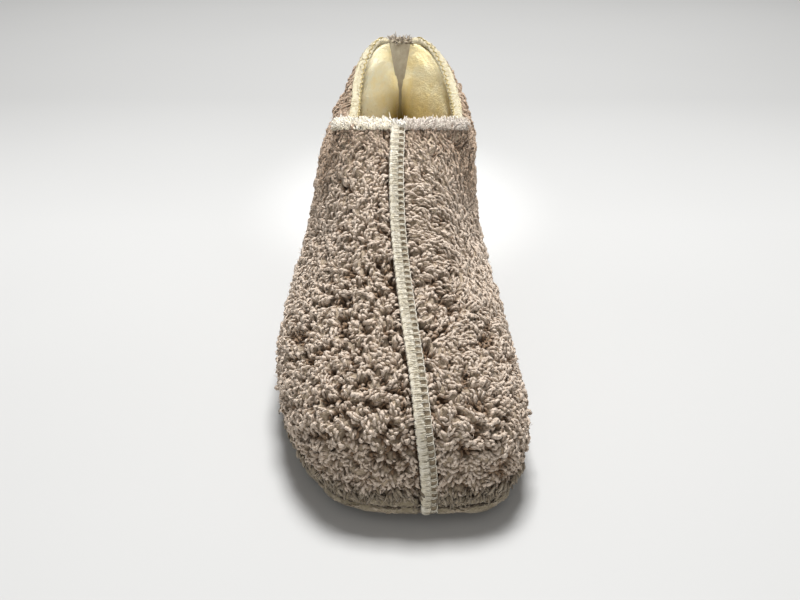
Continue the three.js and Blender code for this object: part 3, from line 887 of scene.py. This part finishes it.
def make_front_seam():
    line = seam_line("toe", 360)
    length = line[3][-1]
    ivory = wool_cord_material("seam ivory", "e2d8bf", "fdf7e8")
    band = wool_cord_material("seam band", "84755f", "b0a28b")
    pale = wool_cord_material("pale thread", "ebe3cf", "fdf9ee", 0.3)
    drab = wool_cord_material("drab thread", "8a7f66", "ab9f86", 0.3)
    ridge_piece("front_seam_ridge", line, RIDGE_ASIDE, RIDGE_WIDTH, RIDGE_HEIGHT, 0.22, ivory, "thread",
                "front_seam")
    ridge_piece("front_seam_band", line, BAND_ASIDE, BAND_WIDTH, BAND_HEIGHT, 0.1, band, "thread")
    places = np.arange(1.0, length - 1.0, THREAD_PITCH)
    left, right = RIDGE_ASIDE - RIDGE_WIDTH / 2, BAND_ASIDE + BAND_WIDTH / 2
    ridge_right = RIDGE_ASIDE + RIDGE_WIDTH / 2
    over_ridge = arches(line, places, left - 0.05, ridge_right + 0.3, RIDGE_HEIGHT + 0.05, 0.25)
    thread_piece("front_seam_wraps", over_ridge, THREAD_RADIUS, 5, pale, "thread")
    dark = arches(line, places[::3] + THREAD_PITCH / 2, left - 0.05, right, RIDGE_HEIGHT + 0.02, 0.5)
    thread_piece("front_seam_dark_wraps", dark, THREAD_RADIUS * 0.8, 5, drab, "thread")
    rungs = np.concatenate([arches(line, np.arange(2.0, length - 1, LOOP_PITCH) + shift,
                                   RIDGE_ASIDE + 1.2, right + 0.1, BAND_HEIGHT + 0.45, 0.1)
                            for shift in (-0.35, 0.35)])
    thread_piece("front_seam_rungs", rungs, THREAD_RADIUS * 1.25, 5, pale, "thread")
    t = np.linspace(0.5, length - 0.5, 240)
    rail = seam_spot(line, t, right + 0.15 * np.sin(2 * np.pi * t / LOOP_PITCH), 0.75 + 0.1 * np.sin(t))
    thread_piece("front_seam_rail", rail[None], THREAD_RADIUS * 1.2, 5, pale, "thread")


def make_heel_seam():
    line = seam_line("heel", 240, 0.09, 0.955)
    length = line[3][-1]
    ivory = wool_cord_material("heel seam ivory", "c9bfa2", "f0e8d2")
    pale = wool_cord_material("heel thread", "d9d0b8", "f6f0e0", 0.3)
    ridge_piece("heel_seam_ridge", line, 0.0, 3.6, 1.7, 0.2, ivory, "thread", "heel_seam", turned=False)
    places = np.arange(1.0, length - 1.0, THREAD_PITCH * 1.3)
    wraps = arches(line, places, -1.9, 1.9, 1.8, 0.4)
    thread_piece("heel_seam_wraps", wraps, THREAD_RADIUS, 5, pale, "thread")


make_front_seam()
make_heel_seam()

# The collar: a rolled wool edge with a line of tan stitches, and longer wool along the throat

HEM_INSET, HEM_WIDTH, HEM_HEIGHT, HEM_CLEARANCE = 1.5, 5.5, 4.0, 0.5
SEAM_HALF, STRIP_HALF = 3.5, 6.3
STITCH_PITCH, STITCH_REACH, STITCH_SWING, STITCH_INSET = 1.9, 2.1, 1.6, -1.3


def collar_line(side, steps):
    """Places along one side of the rolled edge, from the front seam to the heel strip."""
    tries = np.linspace(0, np.pi, 900)
    rim = form(side * tries, 1)
    first = tries[np.argmax(np.abs(rim[:, 0] - rim[0, 0]) > SEAM_HALF)]
    last = tries[len(tries) - 1 - np.argmax(np.abs(rim[::-1, 0] - rim[-1, 0]) > STRIP_HALF)]
    lengths = np.concatenate([[0], np.cumsum(np.linalg.norm(np.diff(rim, axis=0), axis=-1))])
    span = np.interp([first, last], tries, lengths)
    u = side * np.interp(np.linspace(*span, steps), lengths, tries)
    out = outward(u, 1.0)
    up = unit(form(u, 1.0) - form(u, 0.98))
    middle = form(u, 1.0) - out * (HEM_INSET + HEM_WIDTH / 2) + up * (HEM_CLEARANCE + HEM_HEIGHT / 2)
    return middle, out, up, np.linspace(0, span[1] - span[0], steps)


def make_collar():
    roll_wool = pile_material("collar wool", ("b4ac92", "c7bfa8"), 3, sheen=0.1, bump=0.25)
    tan = wool_cord_material("tan stitches", "a4925c", "c9b67e", 0.3)
    fluff = strand_material("collar fluff", "dccfa6", "efe5c8", "cdb987", 0.1)
    for side, name in ((1, "inner_side"), (-1, "outer_side")):
        middle, out, up, lengths = collar_line(side, 260)
        turn = ring_angles(16)
        ends = np.sqrt(np.clip(np.minimum(lengths, lengths[-1] - lengths) / 1.5, 0.05, 1))[:, None]
        middle = middle - up * (1.9 * (1 - smoothstep(lengths[-1] - lengths, 0, 9)))[:, None]
        points = (middle[:, None]
                  + out[:, None] * (rounded(np.cos(turn), 0.85) * HEM_WIDTH / 2 * ends)[..., None]
                  + up[:, None] * (rounded(np.sin(turn), 0.85) * HEM_HEIGHT / 2 * ends)[..., None])
        lumps = 0.18 * noise(points, 3.4, 61) + 0.08 * noise(points, 1.1, 62)
        points = points + unit(points - middle[:, None]) * (lumps * ends)[..., None]
        roll = ring_stack("collar_roll_" + name, points, side > 0)
        dress(roll, roll_wool, "lining", "collar_hem_" + name)
        places = np.arange(3, lengths[-1] - 5, STITCH_PITCH)
        t = np.linspace(-0.5, 0.5, 6)
        swing = np.where(np.arange(len(places)) % 2, 1.0, -1.0)
        aside = STITCH_INSET + STITCH_SWING * swing[:, None] * t
        lift = HEM_HEIGHT / 2 + 0.02 + 0.22 * np.cos(np.pi * t)
        spot = track_at(places[:, None] + t * STITCH_REACH, lengths, middle, out, up)
        paths = spot[0] + spot[1] * aside[..., None] + spot[2] * lift[:, None]
        thread_piece("collar_stitches_" + name, paths, 0.3, 5, tan, "thread")
        make_collar_fluff("collar_fluff_" + name, middle, out, up, lengths, fluff)


def make_collar_fluff(name, middle, out, up, lengths, material):
    """Short curled fibres that stand round the rolled edge."""
    count = int(lengths[-1] * 3)
    middle, out, up = track_at(rng.uniform(1, lengths[-1] - 1, count), lengths, middle, out, up)
    along = unit(np.cross(out, up))
    turn = rng.uniform(-0.25, 1.15, count) * np.pi
    radial = out * np.cos(turn)[:, None] + up * np.sin(turn)[:, None]
    base = middle + out * (np.cos(turn) * HEM_WIDTH * 0.47)[:, None]
    base = base + up * (np.sin(turn) * HEM_HEIGHT * 0.47)[:, None]
    way = np.cross(along, radial) * rng.choice([-1, 1], count)[:, None]
    way = unit(way + along * rng.normal(0, 0.9, (count, 1)))
    length = rng.uniform(1.4, 2.6, count)
    bend = np.cross(radial, way) * rng.normal(0, 1.6, count)[:, None] - 0.9 * radial
    paths = curved(base + 0.28 * radial, way, length, bend, np.linspace(-0.5, 0.5, 5))
    loose_wool(name, paths, (0.15, 0.26), [0.6, 1, 1, 0.85, 0.3], radial, 0.9, material, "lining")


def make_throat_fringe():
    """Short wool along the throat: white on the outer side, frosted fleece on the inner side."""
    white = strand_material("throat white wool", "fff4dc", "fffdf7", "f3e7ca", 0.6)
    frosted = strand_material("throat frosted wool", "d5c8ba", "fbf4ea", "b5a697", 0.4)
    reach, count = 38.0, 1000
    for side, name, material, slot in ((-1, "white", white, "lining"), (1, "frosted", frosted, "fleece")):
        middle, out, up, lengths = collar_line(side, 200)
        at = rng.uniform(-2.0, reach, count)
        middle, out, up = track_at(at, lengths, middle, out, up)
        along = unit(np.cross(out, up))
        fade = 1 - smoothstep(at, reach * 0.6, reach)
        down = rng.uniform(-0.7, 5.5, count)
        across = np.where(down > 1.2, rng.uniform(1.5, 1.95, count), rng.uniform(0.3, 1.5, count))
        base = middle + out * (across * HEM_WIDTH / 2)[:, None] - up * down[:, None]
        base = base - along * (np.minimum(at, 0) * side)[:, None]
        way = up + out * rng.normal(0.15, 0.3, (count, 1))
        way = unit(way + along * rng.normal(0, 0.45, (count, 1)))
        length = rng.uniform(1.5, 3.2, count) * (0.5 + 0.5 * fade)
        curl = out * rng.normal(-0.4, 0.8, count)[:, None] + along * rng.normal(0, 0.9, count)[:, None]
        paths = curved(base, way, length, curl, np.linspace(0, 1, 6))
        # Painted shade: each strand darker towards its root.
        loose_wool("throat_wool_" + name, paths, (0.26, 0.46), [0.9, 1, 1, 0.9, 0.8, 0.4], out,
                   np.linspace(0.3, 1, 6), material, slot)


def felt_material(name):
    """Pressed taupe felt, speckled with darker and lighter fibres, with dark painted shade low down."""
    made = Nodes(name, roughness=0.95, sheen=0.25, specular=0.1)
    fine = made.lumps(0.45, 3.0, 0.75)
    base = made.tones(made.lumps(4.0, 3.0, 0.55), "aca089", "c3b9a2")
    # Painted shade: darker towards the bottom of the strip.
    height = made.node("SeparateXYZ", {"Vector": made.place()}).outputs["Z"]
    low = made.node("MapRange", {"Value": height, "From Min": 0.086, "From Max": 0.112}).outputs[0]
    shaded = made.mix(low, linear("6b5712"), base)
    made.colour(made.darkened(fine, 0.6, shaded, (0.55, 0.52, 0.47)))
    made.bump(fine, 0.35, 0.8)
    return made.material


def make_heel_felt():
    """Felt on the heel strip, with dark tufts of the fleece caught over its top."""
    strip = bpy.data.objects["heel_strip"]
    strip.material_slots[0].material = felt_material("heel felt")
    low, high = (np.array(corner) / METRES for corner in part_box("heel_strip"))
    middle = np.array([(low[0] + high[0]) / 2, high[1] - 6.0, high[2]])
    count = 190
    base = middle + np.stack([rng.uniform(-6.2, 6.2, count), rng.normal(0, 1.5, count),
                              rng.uniform(-1.6, -0.3, count)], -1)
    means, spreads = (0, -0.5, 0.25), (0.9, 0.8, 0.45)
    way = unit(np.stack([rng.normal(mean, spread, count) for mean, spread in zip(means, spreads)], -1))
    length = rng.uniform(1.6, 3.4, count)
    bend = np.cross(way, rng.normal(0, 1, (count, 3))) * 1.3
    paths = curved(base, way, length, bend, np.linspace(0, 1, 5))
    tufts = strand_material("heel tufts", "b3a48e", "ddd0bb", "4a3d2f")
    loose_wool("heel_tufts", paths, (0.3, 0.5), [0.8, 1, 1, 0.8, 0.4], unit(np.cross(way, [0.2, 0.9, 0.1])),
               (0.0, 1.0, 0.5), tufts, "fleece")


def make_seam_tuft():
    """White wool that stands over the front seam's top."""
    line = seam_line("toe", 40)
    count = 260
    base = seam_spot(line, line[3][-1] - rng.uniform(0.0, 2.5, count), rng.normal(0.2, 1.7, count),
                     rng.uniform(0.0, 1.6, count))
    up, out = unit(line[0][-1] - line[0][-2]), line[2][-1]
    way = unit(up + out * rng.normal(0.1, 0.3, (count, 1)) + line[1][-1] * rng.normal(0, 0.4, (count, 1)))
    length = rng.uniform(1.4, 3.0, count)
    bend = np.cross(way, rng.normal(0, 1, (count, 3)))
    paths = curved(base, way, length, bend, np.linspace(0, 1, 5))
    white = strand_material("seam tuft", "efe6d2", "ffffff", "c9bb9a")
    # Painted shade: each strand darker towards its root.
    loose_wool("seam_tuft", paths, (0.3, 0.5), [0.8, 1, 1, 0.8, 0.3], out, np.linspace(0.5, 1, 5), white,
               "lining")


make_collar()
make_throat_fringe()
make_heel_felt()
make_seam_tuft()

# The base: gathered fleece over a thin suede sole, and a padded insole

SOLE_OUT = 1.0


def feather_point(u, out, height):
    """Points round the feather line, moved outwards, at a height over the sole's underside."""
    points = raised(u, 0.0, out)
    points[..., 2] = underside(points[..., 1] - SHIFT[1]) + height
    return points


def make_rand():
    """Two wavy folds of flattened fleece round the base, open at the front seam."""
    material = fold_material("gathered fleece")
    u = even_angles(720)
    start = np.argmax(np.abs(form(u, 0)[:, 0] - form(u, 0)[0, 0]) > SEAM_HALF)
    u = u[start:len(u) - start + 1]
    turn = ring_angles(12)
    line = form(u, 0)
    folds = (("upper", 6.2, 3.8, 2.4, 0.5, 71, 0.9), ("lower", 2.6, 3.7, 2.6, 0.9, 81, 0.45))
    for name, height, tall, thick, set_out, seed, sway in folds:
        wave = sway * noise(line, 7, seed) + 0.4 * sway * noise(line, 3, seed + 1)
        pinch = 1 + 0.28 * noise(line, 5, seed + 2)
        out = set_out + 0.7 * noise(line, 6, seed + 3)
        across = out[:, None] + np.cos(turn) * thick * pinch[:, None] / 2
        up = np.maximum(height + wave[:, None] + np.sin(turn) * tall * pinch[:, None] / 2, 0.6)
        points = feather_point(np.broadcast_to(u[:, None], across.shape), across, up)
        points = points + 0.16 * np.stack([noise(points, 1.4, seed + k) for k in (4, 5, 6)], -1)
        piece = ring_stack("rand_fold_" + name, points)
        # Painted shade on the side of each fold that faces the wall.
        depth = smoothstep(np.broadcast_to(np.cos(turn), across.shape), -0.6, 0.8).ravel()
        tone = 0.5 + 0.5 * noise(points.reshape(-1, 3), 2.5, seed + 8)
        keep_values(piece, "strand", np.stack([tone, tone, depth, tone], -1))
        dress(piece, material, "suede", *(["rand"] if name == "upper" else []))


def random_angles(count):
    """Random angles, even along the outline."""
    return np.interp(rng.random(count), np.linspace(0, 1, 721), np.append(even_angles(720), 2 * np.pi))


def beside_seam(u, v):
    """How far to the side of the front seam's middle places lie, and far off at the heel."""
    return np.abs(form(u, v)[:, 0] - form(np.zeros_like(u), v)[:, 0]) + 1e3 * (np.cos(u) < 0)


def make_skirt():
    """Locks that hang from the bottom of the fleece over the folds."""
    u = random_angles(2100)
    v = rng.uniform(0.03, 0.11, len(u))
    clear = beside_seam(u, v) > FRONT_CLEAR
    u, v = u[clear], v[clear]
    count = len(u)
    normal = outward(u, v)
    around, upward = tangents(u, v)
    way = normal * rng.normal(0.15, 0.2, (count, 1)) - upward
    way = unit(way + around * rng.normal(0, 0.55, (count, 1)))
    t = np.linspace(0, 1, 4)
    length = rng.uniform(2.2, 4.4, count)
    paths = curved(form(u, v), way, length, around * rng.normal(0, 0.9, (count, 1)), t)
    paths = paths + normal[:, None] * (0.2 + 0.9 * np.sin(np.pi * t * 0.7))[:, None]
    material = strand_material("fleece skirt", "a89880", "d9ccb8", "52463a", 0.12)
    loose_wool("fleece_skirt", paths, (0.45, 0.75), [0.8, 1.1, 1.0, 0.5], normal, (0.3, 0.85, 1.0), material,
               "fleece")
    make_fold_wool(material)


def make_fold_wool(material):
    """Flattened locks along the gathered folds."""
    u = random_angles(2000)
    u = u[beside_seam(u, 0.0 * u) > FRONT_CLEAR]
    count = len(u)
    height = rng.uniform(1.7, 7.6, count)
    wave = 0.6 * noise(form(u, 0), 7, 71)
    base = feather_point(u, 2.0 - 0.15 * np.abs(height - 3.5) + rng.normal(0, 0.15, count), height + wave)
    around, _ = tangents(u, 0.02)
    normal = outward(u, 0.02)
    upright = np.array([0, 0, 1])
    way = around * rng.choice([-1, 1], count)[:, None]
    way = unit(way + upright * rng.normal(0, 0.3, (count, 1)))
    length = rng.uniform(1.8, 3.6, count)
    bend = upright * rng.normal(0, 1.2, count)[:, None] - 1.6 * normal
    paths = curved(base, way, length, bend, np.linspace(-0.5, 0.5, 4))
    # Painted shade in the crease between the two folds, about 4.5 mm up.
    loose_wool("fold_wool", paths, (0.35, 0.6), [0.6, 1.1, 1.0, 0.5], normal,
               smoothstep(np.abs(height - 4.5), 0, 1.2)[:, None], material, "suede")


def fold_material(name):
    """Flattened, slightly felted fleece: drab folds, with painted shade where they face the wall."""
    made = Nodes(name, roughness=0.93, sheen=0.2, specular=0.12)
    fine = made.lumps(0.7, 4.0, 0.7)
    both = made.math("MULTIPLY", made.math("ADD", fine, made.lumps(4.0, 2.0, 0.5)), 0.5)
    wool = made.tones(both, "857861", "beb199", 0.35, 0.65)
    # The stored depth mixes in the painted shade colour.
    made.colour(made.mix(made.stored()[2], linear("4d4336"), wool))
    made.bump(fine, 0.7, 0.9)
    return made.material


def suede_material(name):
    """Taupe suede with a fine nap."""
    made = Nodes(name, roughness=0.95, sheen=0.25, specular=0.1)
    nap = made.lumps(0.5, 4.0, 0.75)
    base = made.tones(made.lumps(12.0, 3.0, 0.5), "85796a", "9c8f7d")
    made.colour(made.darkened(nap, 0.5, base, (0.7, 0.68, 0.64)))
    made.bump(nap, 0.25, 0.8)
    return made.material


def slab(name, rings):
    """A closed slab through rings of points from the bottom up, closed with quads across both ends."""
    count = rings[0].shape[0]
    points = np.concatenate(rings)
    j = np.arange(count // 2)
    rungs = np.stack([j, j + 1, (count - j - 1) % count, (count - j) % count], -1)
    tips = np.array([(0, 1, count - 1), (count // 2 - 1, count // 2, count // 2 + 1)])
    rungs = rungs[1:-1]
    top = (len(rings) - 1) * count
    quads = np.concatenate([grid_quads(len(rings), count), rungs[:, ::-1], rungs + top])
    tris = np.concatenate([tips[:, ::-1], tips + top])
    return mesh_object(name, points, quads, tris)


def make_sole():
    u = even_angles(360)
    levels = [(-3, 0.0), (-1.6, 0.1), (-0.7, 0.6), (0, 1.7), (0, 2.6), (-0.5, 3.5), (-1.2, 4.0)]
    sole = slab("sole", [feather_point(u, SOLE_OUT + out, height) for out, height in levels])
    dress(sole, suede_material("sole suede"), "suede", "outsole")
    levels = [(-8.3, 4.3), (-8.3, 6.8), (-9.4, 8.3), (-12, 9.0), (-16, 9.3), (-22, 9.4)]
    insole = slab("insole_wool", [feather_point(u, out, height) for out, height in levels])
    dress(insole, pile_material("insole wool", ("d9c386", "efe3c0"), 8, bump=0.5), "lining", "insole")


make_rand()
make_skirt()
make_sole()

# Floor, light and camera

CAMERA_BACK, CAMERA_HEIGHT, CAMERA_PITCH = 307.0, 263.0, 28.0
CAMERA_LENS, SENSOR = 45.0, 36.0


def make_camera():
    data = bpy.data.cameras.new("camera")
    data.lens = CAMERA_LENS
    data.sensor_width = SENSOR
    made = bpy.data.objects.new("camera", data)
    bpy.context.scene.collection.objects.link(made)
    made.location = (SHIFT[0] * METRES, (SHIFT[1] - CAMERA_BACK) * METRES, CAMERA_HEIGHT * METRES)
    made.rotation_euler = (math.radians(90 - CAMERA_PITCH), 0, 0)
    bpy.context.scene.camera = made


FLOOR_HALF = 6000.0
# Where the floor's painted shade comes and goes, in metres along the floor's y.
FADE_START, FADE_END = 0.16, 0.82


def make_floor():
    """A plain pale floor with painted shade that darkens it a little far behind the shoe."""
    corners = [(-FLOOR_HALF, -FLOOR_HALF, 0), (FLOOR_HALF, -FLOOR_HALF, 0),
               (FLOOR_HALF, FLOOR_HALF, 0), (-FLOOR_HALF, FLOOR_HALF, 0)]
    floor = mesh_object("floor", np.array(corners), [(0, 1, 2, 3)])
    made = Nodes("floor", roughness=0.6, specular=0.2)
    place = made.place()
    pale = made.tones(made.noise(place, 3.0, 2.0), "c8c8c7", "cbcbca")
    behind = made.node("SeparateXYZ", {"Vector": place}).outputs["Y"]
    fade = made.node("MapRange", {"Value": behind, "From Min": FADE_START, "From Max": FADE_END}).outputs[0]
    far_painted_shade = made.ramp(fade, [(0.0, linear("ffffff")), (0.43, linear("ededed")), (1.0, linear("fbfbfb"))])
    made.colour(made.mix(1.0, pale, far_painted_shade, "MULTIPLY"))
    floor.data.materials.append(made.material)


def add_light(kind, name, place, target, power, **settings):
    """A light that points at a target and that no camera sees."""
    data = bpy.data.lights.new(name, kind)
    data.energy = power
    for key, value in settings.items():
        setattr(data, key, value)
    made = bpy.data.objects.new(name, data)
    bpy.context.scene.collection.objects.link(made)
    made.location = place
    made.rotation_euler = (Vector(target) - Vector(place)).to_track_quat("-Z", "Y").to_euler()
    made.visible_camera = False


def make_light():
    world = bpy.data.worlds.new("studio")
    world.use_nodes = True
    background = world.node_tree.nodes["Background"]
    background.inputs["Color"].default_value = (1.0, 0.99, 0.97, 1)
    background.inputs["Strength"].default_value = 0.25
    bpy.context.scene.world = world
    add_light("AREA", "overhead", (0.03, 0.34, 1.3), (0, 0, 0.02), 23.5,
              shape="RECTANGLE", size=0.42, size_y=0.34)
    add_light("AREA", "front", (0.0, -0.95, 0.26), (0, -0.1, 0.04), 1.3,
              shape="RECTANGLE", size=0.5, size_y=0.3)
    add_light("SPOT", "opening", (0.02, -0.46, 0.72), (0.004, 0.112, 0.099), 135,
              spot_size=math.radians(5.4), spot_blend=1.0, shadow_soft_size=0.08)


make_camera()
make_floor()
make_light()
bpy.context.scene.view_settings.view_transform = "Standard"
